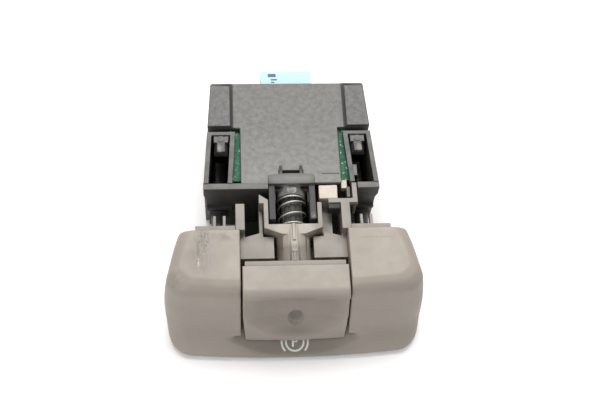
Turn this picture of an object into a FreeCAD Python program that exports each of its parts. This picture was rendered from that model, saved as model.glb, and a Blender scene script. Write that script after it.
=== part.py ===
import FreeCAD, Part

import math
import os

V = FreeCAD.Vector

# Lengths are millimetres. X runs across the switch, Y runs from the driver to the
# dashboard and Z runs up. Every form is drawn from the front face of the housing flange,
# and the finished pieces are moved so that the origin is under the middle of the switch.

# Housing case
flange_width = 66.6
case_rear_width = 60.8
case_height = 30.0
case_depth = 49.0
case_wall = 1.6
case_corner = 2.4
panel_drop = 1.6
panel_width = 38.2
hump_gap = 43.4
hump_slope = 1.2
hump_depth = 21.3
pocket_depth = 10.0
ridge_start = 11.8
ridge_length = 6.6
ridge_y = 6.6
ridge_width = 0.4
ridge_height = 0.2

# Connector shroud behind the case
shroud_depth = 9.0
shroud_width = 20.6
shroud_low = 8.0
shroud_drop = 4.4
shroud_wall = 1.5
pin_count = 5
pin_pitch = 2.54
pin_size = 0.64
pin_row_gap = 4.0
pin_reach = 5.0
pin_leg_gap = 1.2
pin_leg_pitch = 1.8
header_depth = 3.0
header_margin = 1.6
label_thickness = 0.2

# Front carrier
flange_thickness = 2.6
carrier_drop = 1.0
carrier_foot = 1.0
carrier_step_in = 0.9
notch_left = 8.9
notch_right = 25.0
notch_depth = 14.3
frame_gap = 1.9
frame_outer_bar = 1.8
frame_inner_bar = 1.9
frame_rear_bar = 1.6
frame_inner_front = 22.3
frame_inner_rear = 20.9
frame_thickness = 2.4
frame_pad = 0.35
tongue_width = 5.6
tongue_root = 3.0
tongue_thickness = 1.6
nose_length = 4.8
nose_top_width = 2.8
nose_height = 3.6
sleeve_length = 7.6
sleeve_radius = 2.7
spring_tube_wall = 0.9
spring_tube_gap = 0.35
spring_tube_open = 1.2
spring_tube_rear = 21.0
stop_post_width = 1.4
stop_post_gap = 0.6
stop_post_reach = 3.4
stop_post_rear = 1.1
stop_post_foot = 4.0
shelf_half = 20.0
shelf_gap = 0.8
shelf_thickness = 1.6

# Circuit board and what it carries
board_width = 46.8
board_front = 5.0
board_rear_gap = 1.4
board_thickness = 1.6
board_corner = 1.2
board_play = 0.3
board_clearance = 0.6
post_radius = 1.8
post_x = 16.0
post_inset = 8.0
sensor_depth = 5.0
sensor_wall = 1.3
sensor_gap = 0.5
led_width = 2.3
led_height = 2.4
led_reach = 3.6
chip_size = 9.0
chip_height = 1.4

# Spring guide
axis_drop = 7.5
collar_radius = 5.4
collar_reach = 1.6
post_outer_radius = 4.0
post_reach = 26.0
flute_count = 10
flute_width = 0.8
flute_depth = 0.45
head_width = 17.5
head_thickness = 1.05
head_depth = 3.9
head_arch = 0.9
head_front = 1.9
guide_wall = 1.4
guide_wall_top = 3.0
leg_thickness = 2.3
leg_reach = 12.6
leg_drop = 5.9
tab_gap = 0.45
tab_reach = 4.0
finger_width = 1.1
finger_spacing = 7.7
finger_length = 3.6
finger_slot_width = 9.2
finger_slot_depth = 1.4

# Button slider
yoke_window = 18.3
yoke_wall = 1.75
yoke_floor = 1.6
yoke_front_gap = 2.1
yoke_rise = 6.0
yoke_drop = 5.6
gusset_depth = 2.6
barb_reach = 1.7
barb_catch = 5.9
barb_tip = 1.9
barb_slant = 2.5
right_arm_end = 5.7
barrel_radius = 6.35
barrel_length = 15.3
running_gap = 0.08
rod_radius = 1.2
rod_reach = 7.5
bore_floor = 1.2
rib_width = 1.2
rib_height = 0.5
carrier_plate = 2.0
carrier_plate_width = 36.8
carrier_plate_drop = 10.5
plate_rise = 6.5
button_travel = 1.5

# Button cap
cap_width = 38.6
cap_foot_width = 36.4
cap_drop = 0.4
cap_depth = 12.6
cap_edge_radius = 3.0
cap_foot_y = 51.4
cap_foot_z = 5.6
cap_foot_bow = 0.9
cap_foot_overrun = 0.5
cap_knee_height = 11.0
cap_flare_height = 9.6
cap_flare_depth = 1.3
cap_flare_bow = 0.45
cap_wall = 2.0
cap_front_wall = 5.6
cap_foot_wall = 3.8
cap_side_wall = 1.6
dish_width = 50.0
dish_length = 24.0
dish_depth = 3.4
dish_height = 17.4
dimple_radius = 2.8
dimple_depth = 0.9
dimple_height = 15.6

# Handle shell
handle_width = 96.0
handle_rear_width = 84.6
handle_height = 30.0
handle_rear = 17.3
handle_reach = 57.0
handle_wall = 2.0
handle_bow = 1.6
slot_width = 39.8
scoop_height = 7.2
scoop_lip = 1.9
scoop_radius = 106.0
scoop_slope = 12.0
cap_floor_gap = 0.35

# Handle chassis
rail_width = 3.4
rail_depth = 11.1
rail_drop = 1.0
cheek_wall = 1.9
cheek_low = 8.0
deck_drop = 4.0
deck_slant = 1.6
deck_gap = 0.95
deck_thickness = 1.5
deck_front = 27.2
deck_rear = 18.2
cradle_thickness = 3.0
cradle_gap = 0.3
stop_wall = 1.4
stop_drop = 6.0
side_gap = 0.3
column_width = 4.0
column_drop = 7.5
arm_bar_start = 13.4
arm_bar_end = 24.6
arm_bar_width = 1.8
arm_bar_height = 2.2
arm_width = 1.9
arm_reach = 4.3
blade_width = 1.0
blade_reach = 11.0
blade_drop = 1.6
blade_height = 3.4
comb_drop = 1.0
comb_thickness = 2.6
comb_width = 36.2
comb_depth = 2.4
end_wall = 1.8
end_wall_low = 4.0
end_wall_drop = 4.0
end_lug_overlap = 1.0
prong_reach = 4.1
prong_width = 1.1
buffer_width = 4.6
buffer_depth = 2.2
buffer_height = 4.6
buffer_drop = 0.6
guide_block_width = 7.0
guide_block_height = 8.0
guide_block_reach = 1.8
guide_block_front = 4.0
guide_block_overlap = 3.8
guide_block_drop = 1.0

# Guide pins, clips and springs
guide_spacing = 56.0
guide_height = 10.3
guide_radius = 1.3
guide_play = 0.05
guide_rear = 19.5
clip_place = 17.3
clip_thickness = 0.7
clip_radius = 2.1
groove_depth = 0.3
return_coil_radius = 1.85
return_wire = 0.5
return_turns = 5
button_coil_radius = 5.25
button_wire = 0.7
button_turns = 3
spring_seat = 0.15
coil_steps = 10
wire_sides = 5

# Places worked out from the sizes above
flange_half = flange_width / 2
case_taper = (flange_width - case_rear_width) / 2 / case_depth
panel_top = case_height - panel_drop
panel_under = panel_top - case_wall
pocket_height = case_height - pocket_depth
hump_front = case_depth - hump_depth
frame_rear = hump_front - frame_gap
board_rear = case_depth - case_wall - board_rear_gap
board_top = panel_under - board_clearance
board_under = board_top - board_thickness
shroud_rear = case_depth + shroud_depth
shroud_top = panel_top - shroud_drop
pin_rows = (
    (shroud_low + shroud_top - pin_row_gap) / 2,
    (shroud_low + shroud_top + pin_row_gap) / 2,
)
carrier_height = case_height - carrier_drop
notch_floor = carrier_height - notch_depth
axis_height = case_height - axis_drop
leg_bottom = axis_height - leg_drop
yoke_top = axis_height + yoke_rise
yoke_bottom = axis_height - yoke_drop
carrier_plate_low = axis_height - carrier_plate_drop
plate_top = axis_height + plate_rise
rail_top = case_height - rail_drop
deck_top = rail_top - deck_drop
stop_top = rail_top - stop_drop
column_top = rail_top - column_drop
arm_bar_low = rail_top - arm_bar_height
comb_top = rail_top - comb_drop
end_wall_top = comb_top - end_wall_drop
blade_top = board_under - blade_drop
blade_low = blade_top - blade_height
cap_top = handle_height - cap_drop
origin_shift = (handle_reach - shroud_rear) / 2
yoke_face = -(leg_reach + yoke_front_gap)
yoke_outer = yoke_window / 2 + yoke_wall
barrel_front = yoke_face - barrel_length
plate_rear = barrel_front
plate_front = plate_rear - carrier_plate
cap_rear = plate_front
slot_half = slot_width / 2
guide_x = guide_spacing / 2
rail_inner = slot_half - cheek_wall
rail_outer = rail_inner + rail_width
rail_rear = -(handle_rear - rail_depth)
stop_inner = yoke_outer + side_gap
stop_rear = -(barb_catch + side_gap)


def box(x0, x1, y0, y1, z0, z1):
    return Part.makeBox(x1 - x0, y1 - y0, z1 - z0, V(x0, y0, z0))


def rod(x, z, radius, y0, y1):
    return Part.makeCylinder(radius, y1 - y0, V(x, y0, z), V(0, 1, 0))


def polygon(points):
    return Part.Wire(Part.makePolygon(points + points[:1]).Edges)


def prism(points, direction):
    return Part.Face(polygon(points)).extrude(direction)


def along(profile, y0, y1):
    # A front profile, given as (x, z) corners, carried from y0 to y1.
    return prism([V(x, y0, z) for x, z in profile], V(0, y1 - y0, 0))


def upright(profile, z0, z1):
    # A plan, given as (x, y) corners, carried from z0 to z1.
    return prism([V(x, y, z0) for x, y in profile], V(0, 0, z1 - z0))


def mirrored(shape):
    return shape.mirror(V(0, 0, 0), V(1, 0, 0))


def both_sides(shape):
    return [shape, mirrored(shape)]


def joined(shapes):
    return shapes[0].fuse(shapes[1:]).removeSplitter()


def cut_away(shape, tools):
    return shape.cut(tools).removeSplitter()


def rounded(shape, radius, wanted):
    return shape.makeFillet(radius, [edge for edge in shape.Edges if wanted(edge)])


def stands_at(x, y):
    # Picks the upright edges that stand at this distance from the middle.
    def wanted(edge):
        ends = [vertex.Point for vertex in edge.Vertexes]
        return len(ends) == 2 and all(
            abs(abs(end.x) - x) < 0.01 and abs(end.y - y) < 0.01 for end in ends
        )

    return wanted


def coil(radius, wire, start, end, turns, x, z):
    # A compression spring along Y with one closed turn at each end, as a lofted coil.
    closed = wire
    open_length = end - start - wire - 2 * closed
    rings = []
    steps = int(coil_steps * (turns + 2))
    for step in range(steps + 1):
        turn = step / coil_steps
        y = start + wire / 2 + closed * min(turn, 1.0)
        y += open_length * min(max(turn - 1.0, 0.0), turns) / turns
        y += closed * max(turn - 1.0 - turns, 0.0)
        around = 2 * math.pi * turn
        corners = []
        for side in range(wire_sides):
            tilt = 2 * math.pi * side / wire_sides
            reach = radius + wire / 2 * math.cos(tilt)
            corners.append(
                V(
                    x + reach * math.sin(around),
                    y + wire / 2 * math.sin(tilt),
                    z + reach * math.cos(around),
                )
            )
        rings.append(polygon(corners))
    return Part.makeLoft(rings, True, True)


def case_half(y):
    return flange_half - case_taper * y


def case_block(inset, y0, y1, z0, z1):
    plan = [
        (-case_half(y0) + inset, y0),
        (case_half(y0) - inset, y0),
        (case_half(y1) - inset, y1),
        (-case_half(y1) + inset, y1),
    ]
    return upright(plan, z0, z1)


# Housing


def make_rear_case():
    body = case_block(0, flange_thickness, case_depth, 0, case_height)
    body = rounded(body, case_corner, stands_at(case_half(case_depth), case_depth))
    hump = hump_gap / 2
    valley = [
        (-hump, panel_top),
        (hump, panel_top),
        (hump + hump_slope, case_height + 0.01),
        (-hump - hump_slope, case_height + 0.01),
    ]
    body = body.cut(along(valley, 0, case_depth + 1))
    hollow = case_block(
        case_wall, 0, case_depth - case_wall, case_wall, panel_under
    )
    inner_edge = panel_width / 2
    hump_wall = box(
        inner_edge - case_wall,
        flange_half,
        hump_front,
        hump_front + case_wall,
        pocket_height,
        panel_under,
    )
    board_slot = box(
        -board_width / 2 - board_play,
        board_width / 2 + board_play,
        0,
        case_depth,
        board_under - board_play,
        panel_under,
    )
    hollow = hollow.cut(both_sides(hump_wall.cut(board_slot)))
    pocket = box(inner_edge, flange_half + 1, 0, hump_front, pocket_height, case_height + 1)
    slot = box(
        -finger_slot_width / 2,
        finger_slot_width / 2,
        flange_thickness + head_depth + 0.4,
        flange_thickness + head_depth + 0.4 + finger_slot_depth,
        panel_under - 1,
        panel_top + 1,
    )
    body = body.cut([hollow, slot] + both_sides(pocket))
    half = shroud_width / 2
    shroud = box(-half, half, case_depth - case_wall, shroud_rear, shroud_low, shroud_top)
    socket = box(
        -half + shroud_wall,
        half - shroud_wall,
        case_depth,
        shroud_rear + 1,
        shroud_low + shroud_wall,
        shroud_top - shroud_wall,
    )
    key = box(
        -1.1, 1.1, case_depth, shroud_rear - 1.5, shroud_low + shroud_wall, shroud_low + shroud_wall + 1
    )
    rails = [
        box(side * half - 0.6, side * half + 0.6, case_depth, shroud_rear - 2, 14.5, 17.5)
        for side in (-1, 1)
    ]
    posts = [
        Part.makeCylinder(post_radius, board_under - case_wall, V(x, y, case_wall))
        for x in (-post_x, post_x)
        for y in (board_front + post_inset, board_rear - post_inset)
    ]
    body = body.fuse([shroud] + rails + posts)
    body = body.cut([socket])
    body = body.fuse([key])
    ridge = box(
        ridge_start,
        ridge_start + ridge_length,
        ridge_y,
        ridge_y + ridge_width,
        panel_top - 0.1,
        panel_top + ridge_height,
    )
    return cut_away(body, [header_block(0)]).fuse([ridge]).removeSplitter()


def header_block(grow):
    half = pin_pitch * (pin_count - 1) / 2 + header_margin + grow
    return box(
        -half,
        half,
        case_depth - header_depth,
        case_depth,
        min(pin_rows) - header_margin - grow,
        max(pin_rows) + header_margin + grow,
    )


def make_connector_pins():
    pins = []
    size = pin_size / 2
    for row, height in enumerate(pin_rows):
        drop = case_depth - header_depth - pin_leg_gap - (len(pin_rows) - 1 - row) * pin_leg_pitch
        for place in range(pin_count):
            x = pin_pitch * (place - (pin_count - 1) / 2)
            level = box(
                x - size, x + size, drop - size, case_depth + pin_reach, height - size, height + size
            )
            leg = box(x - size, x + size, drop - size, drop + size, height - size, board_under)
            pins.append(level.fuse(leg).removeSplitter())
    return Part.makeCompound(pins)


def make_pin_header(pins):
    return cut_away(header_block(0), pins.Solids)


def make_label():
    half = shroud_width / 2
    return box(-half, half, case_depth + 0.1, shroud_rear, shroud_top, shroud_top + label_thickness)


def make_board():
    half = board_width / 2
    plan = [
        (-half, board_front),
        (half, board_front),
        (half, board_rear - board_corner),
        (half - board_corner, board_rear),
        (board_corner - half, board_rear),
        (-half, board_rear - board_corner),
    ]
    return upright(plan, board_under, board_top)


def frame_side(y):
    share = (y - flange_thickness) / (frame_rear - flange_thickness)
    return frame_inner_front + (frame_inner_rear - frame_inner_front) * share


def latch_frame():
    front = flange_thickness - 0.01
    back = frame_rear - frame_rear_bar
    low = board_top + 0.4
    outline = [
        (frame_side(front), front),
        (case_half(front), front),
        (case_half(frame_rear), frame_rear),
        (frame_side(frame_rear), frame_rear),
    ]
    window = [
        (frame_side(front) + frame_inner_bar, front - 1),
        (case_half(front) - frame_outer_bar, front - 1),
        (case_half(back) - frame_outer_bar, back),
        (frame_side(back) + frame_inner_bar, back),
    ]
    frame = upright(outline, carrier_height - frame_thickness, carrier_height)
    frame = frame.cut(upright(window, 0, case_height + 5))
    wall = [
        (case_half(front) - frame_outer_bar, front),
        (case_half(front), front),
        (case_half(frame_rear), frame_rear),
        (case_half(frame_rear) - frame_outer_bar, frame_rear),
    ]
    cheek = upright(wall, pocket_height, carrier_height)
    pad_end = front + 6.0
    pad = upright(outline, carrier_height, carrier_height + frame_pad)
    pad = pad.cut([upright(window, 0, case_height + 5), box(0, 50, pad_end, 50, 0, 50)])
    middle = (frame_side(back) + frame_inner_bar + case_half(back) - frame_outer_bar) / 2
    root_low = max(low, carrier_height - 0.6 - tongue_thickness)
    root_top = root_low + tongue_thickness
    root = box(
        middle - tongue_width / 2,
        middle + tongue_width / 2,
        back - tongue_root,
        back + 0.2,
        root_low,
        root_top,
    )
    emboss = Part.makeCylinder(1.3, 0.25, V(middle, back - tongue_root / 2, root_top))
    start = back - tongue_root + 0.1
    wide = tongue_width / 2 - 0.3
    narrow = nose_top_width / 2
    near = polygon(
        [
            V(middle - wide, start, root_low),
            V(middle + wide, start, root_low),
            V(middle + narrow, start, root_top),
            V(middle - narrow, start, root_top),
        ]
    )
    tip_y = start - nose_length
    far = polygon(
        [
            V(middle - wide - 0.2, tip_y, root_top + 0.9 - nose_height),
            V(middle + wide + 0.2, tip_y, root_top + 0.9 - nose_height),
            V(middle + narrow, tip_y, root_top + 0.9),
            V(middle - narrow, tip_y, root_top + 0.9),
        ]
    )
    nose = Part.makeLoft([near, far], True, True)
    return [frame, cheek, pad, root, emboss, nose]


def make_front_carrier():
    step = carrier_step_in
    half = flange_half
    plate = [
        (half, carrier_height),
        (half, carrier_height * 0.84),
        (half - step, carrier_height * 0.74),
        (half - step, carrier_height * 0.56),
        (half - 2 * step, carrier_height * 0.5),
        (half - 2 * step, carrier_foot),
    ]
    profile = plate + [(-x, z) for x, z in reversed(plate)]
    flange = along(profile, 0, flange_thickness)
    notch = box(-notch_left, notch_right, -1, flange_thickness + 1, notch_floor, case_height + 1)
    flange = flange.cut([notch])
    ledge = box(
        guide_x - 5.5, half - step, -1.0, 0.01, carrier_height * 0.5, carrier_height * 0.56
    )
    sleeve = rod(guide_x, guide_height, sleeve_radius, -sleeve_length, 0.5)
    collar = rod(guide_x, guide_height, sleeve_radius + 1.0, -1.6, 0.5)
    spring_reach = return_coil_radius + return_wire / 2 + spring_tube_gap
    tube = rod(
        guide_x, guide_height, spring_reach + spring_tube_wall, flange_thickness - 0.1, spring_tube_rear
    )
    tube_side = box(
        guide_x + spring_tube_open, flange_half, flange_thickness, spring_tube_rear + 1, 0, carrier_height
    )
    side = latch_frame() + [ledge, sleeve, collar, tube.cut([tube_side])]
    post_right = arm_bar_end - arm_width - stop_post_gap
    post = box(
        post_right - stop_post_width,
        post_right,
        -stop_post_reach,
        stop_post_rear,
        notch_floor - stop_post_foot,
        arm_bar_low + arm_bar_height / 2,
    )
    shelf = box(
        -shelf_half, shelf_half, shelf_gap - handle_rear, 0.1, carrier_foot, carrier_foot + shelf_thickness
    )
    body = joined([flange, post, shelf] + side + [mirrored(piece) for piece in side])
    bore = rod(guide_x, guide_height, guide_radius + guide_play, -sleeve_length - 1, 10)
    room = rod(guide_x, guide_height, spring_reach, flange_thickness, spring_tube_rear + 1)
    return cut_away(body, both_sides(bore) + both_sides(room))


def make_spring_guide():
    half = head_width / 2
    back = box(
        -half,
        half,
        flange_thickness - guide_wall,
        flange_thickness,
        notch_floor,
        axis_height + guide_wall_top,
    )
    collar = rod(0, axis_height, collar_radius, -collar_reach, flange_thickness)
    hub = rod(0, axis_height, post_outer_radius, flange_thickness - 0.1, board_front - board_play)
    leg = box(half - leg_thickness, half, -leg_reach, flange_thickness, leg_bottom, panel_top)
    tab_inner = button_coil_radius + button_wire / 2 + tab_gap
    tab = box(
        tab_inner,
        half - leg_thickness + 0.1,
        -tab_reach,
        flange_thickness,
        axis_height - 2,
        axis_height + 3,
    )
    rear_edge = flange_thickness + head_depth
    low = panel_top + 0.05
    side_edge = rear_edge - head_arch
    plan = Part.Wire(
        [
            Part.makeLine(V(-half, head_front, low), V(half, head_front, low)),
            Part.makeLine(V(half, head_front, low), V(half, side_edge, low)),
            Part.Arc(V(half, side_edge, low), V(0, rear_edge, low), V(-half, side_edge, low)).toShape(),
            Part.makeLine(V(-half, side_edge, low), V(-half, head_front, low)),
        ]
    )
    head = Part.Face(plan).extrude(V(0, 0, head_thickness))
    neck = box(-half, half, head_front, flange_thickness, panel_top - 1.6, low + 0.1)
    finger = box(
        finger_spacing / 2 - finger_width / 2,
        finger_spacing / 2 + finger_width / 2,
        rear_edge - 1.2,
        rear_edge + finger_length,
        low,
        low + head_thickness * 0.75,
    )
    mark = Part.makeCylinder(1.8, 0.3, V(0, 0.1, axis_height + collar_radius - 0.1))
    pieces = [back, collar, hub, head, neck, mark]
    pieces += both_sides(leg) + both_sides(tab) + both_sides(finger)
    bore = rod(0, axis_height, rod_radius + running_gap, -post_reach - 1, rear_edge + 1)
    return cut_away(joined(pieces), [bore])


def make_guide_post():
    # The fluted post that the button spring and the slider's barrel run on.
    post = rod(0, axis_height, post_outer_radius, -post_reach, -collar_reach)
    rims = [edge for edge in post.Edges if abs(edge.CenterOfMass.y + post_reach) < 0.01]
    post = post.makeChamfer(0.6, rims)
    low = axis_height + post_outer_radius - flute_depth
    half = flute_width / 2
    flutes = []
    for place in range(flute_count):
        flute = box(-half, half, -post_reach - 1, -collar_reach + 1, low, low + 1)
        flute.rotate(V(0, 0, axis_height), V(0, 1, 0), 360.0 * (place + 0.5) / flute_count)
        flutes.append(flute)
    bore = rod(0, axis_height, rod_radius + running_gap, -post_reach - 1, 1)
    return cut_away(post, [bore] + flutes)


def fork(x, slot, y0, depth, low, slot_top):
    # A light gate that hangs from the board, with a slot for the moving blade.
    outer = slot / 2 + sensor_wall
    block = box(x - outer, x + outer, y0, y0 + depth, low, board_under)
    gate = box(x - slot / 2, x + slot / 2, y0 - 1, y0 + depth + 1, low - 1, slot_top)
    return cut_away(block, [gate])


def make_pull_sensor():
    return fork(
        blade_middle(), blade_width + 2 * sensor_gap, 8.0, sensor_depth, blade_low - 0.4, blade_top + 0.4
    )


def make_press_sensor():
    slot = 2 * rod_radius + 2 * sensor_gap
    top = axis_height + rod_radius + 0.3
    return fork(0, slot, rod_reach + 1.0, sensor_depth, axis_height - rod_radius - 1, top)


def make_led():
    x = arm_bar_end - arm_width - 1.4 - led_width
    body = box(
        x, x + led_width, board_front - led_reach, board_front, board_top - led_height, board_top
    )
    return rounded(body, 0.4, stands_at(x + led_width, board_front - led_reach))


def make_chip():
    half = chip_size / 2
    y = (board_front + board_rear) / 2
    chip = box(-half, half, y - half, y + half, board_under - chip_height, board_under)
    pins = []
    for place in range(8):
        start = y - half + (place + 0.5) * chip_size / 8 - 0.2
        pins.append(
            box(-half - 1.2, half + 1.2, start, start + 0.4, board_under - 0.35, board_under)
        )
    return joined([chip] + pins)


# Handle


def handle_ring(level, inset, overrun):
    # One plan outline of the handle: rear edge, flared sides, round corners, bowed front.
    z, side_in, front, corner = level
    rear_half = handle_rear_width / 2 - side_in - inset
    front_half = handle_width / 2 - side_in - inset
    corner = corner - inset
    front_y = -front + inset
    corner_y = front_y + handle_bow + corner
    rear_y = -handle_rear + overrun
    flare = (front_half - rear_half) / (-handle_rear - corner_y)
    rear_half = rear_half - flare * overrun
    turn = corner * math.sqrt(0.5)
    middle = V(front_half - corner + turn, corner_y - turn, z)
    side_end = V(front_half, corner_y, z)
    front_end = V(front_half - corner, corner_y - corner, z)

    def flip(point):
        return V(-point.x, point.y, point.z)

    rear = V(rear_half, rear_y, z)
    return Part.Wire(
        [
            Part.makeLine(flip(rear), rear),
            Part.makeLine(rear, side_end),
            Part.Arc(side_end, middle, front_end).toShape(),
            Part.Arc(front_end, V(0, front_y, z), flip(front_end)).toShape(),
            Part.Arc(flip(front_end), flip(middle), flip(side_end)).toShape(),
            Part.makeLine(flip(side_end), flip(rear)),
        ]
    )


def handle_levels():
    # Height, how far the side is drawn in, front reach and corner radius of each outline.
    top = handle_height
    reach = handle_reach
    return [
        (0.0, 3.6, reach - 1.8, 8.6),
        (0.6, 2.4, reach - 0.6, 9.0),
        (1.8, 1.4, reach, 9.2),
        (3.2, 1.0, reach - 1.3, 9.0),
        (4.8, 0.7, reach - 3.3, 8.8),
        (top * 0.24, 0.4, reach - 6.0, 8.4),
        (top * 0.33, 0.1, reach - 7.9, 8.0),
        (top * 0.45, 0.0, reach - 9.4, 7.6),
        (top * 0.58, 0.2, reach - 10.8, 7.2),
        (top * 0.72, 0.7, reach - 12.3, 7.0),
        (top - 4.2, 1.7, reach - 13.6, 6.6),
        (top - 2.2, 2.8, reach - 14.7, 6.4),
        (top - 0.7, 4.6, reach - 16.3, 6.0),
        (top, 7.2, reach - 18.6, 5.6),
    ]


def level_at(z):
    # The outline at a height between two of the given ones.
    levels = handle_levels()
    for low, high in zip(levels, levels[1:]):
        if z <= high[0]:
            share = (z - low[0]) / (high[0] - low[0])
            return tuple(a + (b - a) * share for a, b in zip(low, high))


def hollow_levels():
    levels = handle_levels()
    inner = levels[3:7] + levels[8:12:2]
    return [level_at(handle_wall)] + inner + [level_at(handle_height - handle_wall)]


def handle_form(levels, inset, overrun):
    rings = [handle_ring(level, inset, overrun) for level in levels]
    return Part.makeLoft(rings, True, True)


def gutter(grow):
    # The wide round gutter, rising towards the rear, that the fingers slide in.
    form = Part.makeCylinder(scoop_radius + grow, handle_reach, V(0, 0, 0), V(0, 1, 0))
    form.translate(V(0, 0, scoop_radius))
    form.rotate(V(0, 0, 0), V(1, 0, 0), scoop_slope)
    form.translate(V(0, -handle_reach - 1, scoop_lip))
    return form


def scoop(depth):
    low = box(-handle_width, handle_width, -handle_reach - 5, 0, -20, scoop_height + depth)
    return gutter(depth).common(low)


def make_handle_shell():
    outer = handle_form(handle_levels(), 0, 0)
    hollow = handle_form(hollow_levels(), handle_wall, 4.0)
    inner_wall = box(
        slot_half, slot_half + handle_wall, -handle_reach - 5, 5, -1, handle_height + 1
    )
    hollow = hollow.cut(both_sides(inner_wall) + [scoop(handle_wall)])
    slot = box(
        -slot_half, slot_half, -handle_reach - 5, 5, scoop_height, handle_height + 1
    )
    shell = outer.cut([hollow])
    shell = shell.cut([slot, scoop(0)])
    return shell


def blade_middle():
    return arm_bar_end - arm_width / 2


def make_chassis():
    shell_edge = -handle_rear
    rail = box(rail_inner, rail_outer, shell_edge + 0.1, rail_rear, deck_top - 1, rail_top)
    cheek = box(rail_inner, slot_half, -deck_front, rail_rear, cheek_low, deck_top)
    skin = box(rail_inner, rail_outer, shell_edge + 0.1, rail_rear - 1.5, cheek_low, deck_top)
    deck_plan = [
        (barrel_radius + deck_gap, -deck_front),
        (rail_inner + 0.1, -deck_front),
        (rail_inner + 0.1, -deck_rear),
        (stop_inner + stop_wall, -deck_rear + deck_slant),
        (stop_inner, -deck_rear + deck_slant),
        (stop_inner, -deck_rear),
        (barrel_radius + deck_gap, -deck_rear),
    ]
    deck = upright(deck_plan, deck_top - deck_thickness, deck_top)
    cradle_top = axis_height - barrel_radius - cradle_gap
    cradle = box(
        -rail_inner - 0.1,
        rail_inner + 0.1,
        -deck_front,
        -deck_rear,
        cradle_top - cradle_thickness,
        cradle_top,
    )
    web = box(stop_inner, stop_inner + stop_wall, -deck_front, -deck_rear, cradle_top - 0.1, deck_top)
    stop = box(stop_inner, stop_inner + stop_wall, -deck_rear - 0.5, stop_rear, cradle_top - 2, stop_top)
    column = box(
        stop_inner,
        stop_inner + column_width,
        -deck_rear - 0.5,
        -guide_block_front,
        cradle_top - 2,
        column_top,
    )
    end_outer = guide_x + 6.0
    end_rear = shell_edge + 0.5 + end_wall
    end = box(rail_outer - 0.1, end_outer, shell_edge + 0.5, end_rear, end_wall_low, end_wall_top)
    lug = box(
        rail_outer - 0.1,
        rail_outer + 2.0,
        shell_edge + 0.5,
        end_rear,
        end_wall_top - end_lug_overlap,
        comb_top,
    )
    comb = box(
        rail_outer - 0.1,
        comb_width,
        shell_edge + 0.1,
        shell_edge + 0.1 + comb_depth,
        comb_top - comb_thickness,
        comb_top,
    )
    prongs = [
        box(
            x,
            x + prong_width,
            shell_edge + 0.1,
            shell_edge + 0.1 + comb_depth + prong_reach,
            comb_top - comb_thickness,
            comb_top,
        )
        for x in (guide_x - 3.0, guide_x + 0.6)
    ]
    boss = rod(guide_x, guide_height, sleeve_radius + 0.6, shell_edge - 2.0, -sleeve_length - 0.3)
    side = [rail, cheek, skin, deck, web, end, lug, comb, boss] + prongs
    bar = box(
        arm_bar_start, arm_bar_end, rail_rear - 0.1, rail_rear + arm_bar_width, arm_bar_low, rail_top
    )
    arm = box(
        arm_bar_end - arm_width, arm_bar_end, rail_rear, arm_reach, arm_bar_low, rail_top
    )
    frame_clear = box(
        0,
        arm_bar_end + 1,
        flange_thickness - side_gap,
        arm_reach + 1,
        carrier_height - frame_thickness - side_gap,
        rail_top + 1,
    )
    drop = box(
        blade_middle() - blade_width / 2,
        blade_middle() + blade_width / 2,
        rail_rear,
        arm_reach - 0.6,
        blade_low,
        arm_bar_low + 0.5,
    )
    blade = box(
        blade_middle() - blade_width / 2,
        blade_middle() + blade_width / 2,
        rail_rear,
        blade_reach,
        blade_low,
        blade_top,
    )
    pieces = side + [mirrored(piece) for piece in side]
    pieces += [cradle, mirrored(stop), column, bar, blade]
    pieces += [arm.cut([frame_clear]), drop.cut([frame_clear])]
    body = joined(pieces)
    holes = rod(guide_x, guide_height, guide_radius, shell_edge + 0.5, 0)
    return cut_away(body, both_sides(holes))


def make_arm_buffer():
    front = rail_rear - 0.1
    return box(
        arm_bar_start,
        arm_bar_start + buffer_width,
        front - buffer_depth,
        front,
        rail_top - buffer_drop - buffer_height,
        rail_top - buffer_drop,
    )


def make_light_guide():
    top = rail_top - guide_block_drop
    right = arm_bar_start + guide_block_overlap
    block = box(
        right - guide_block_width, right, -guide_block_front, guide_block_reach, top - guide_block_height, top
    )
    return rounded(block, 0.5, stands_at(right, guide_block_reach))


def make_guide_pin():
    pin = rod(guide_x, guide_height, guide_radius, -handle_rear + 0.5, guide_rear)
    rims = [edge for edge in pin.Edges if abs(edge.CenterOfMass.y - guide_rear) < 0.01]
    pin = pin.makeChamfer(0.4, rims)
    ring = rod(guide_x, guide_height, guide_radius + 1, clip_place, clip_place + clip_thickness)
    core = rod(guide_x, guide_height, guide_radius - groove_depth, 0, 40)
    return cut_away(pin, [ring.cut(core)])


def make_pin_clip():
    y0 = clip_place + 0.05
    y1 = clip_place + clip_thickness - 0.05
    ring = rod(guide_x, guide_height, clip_radius, y0, y1)
    core = rod(guide_x, guide_height, guide_radius - groove_depth, y0 - 1, y1 + 1)
    mouth = box(
        guide_x - 0.8, guide_x + 0.8, y0 - 1, y1 + 1, guide_height - 5, guide_height
    )
    return cut_away(ring, [core, mouth])


def make_return_spring():
    return coil(
        return_coil_radius,
        return_wire,
        flange_thickness + spring_seat,
        clip_place - spring_seat,
        return_turns,
        guide_x,
        guide_height,
    )


# Button


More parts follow.
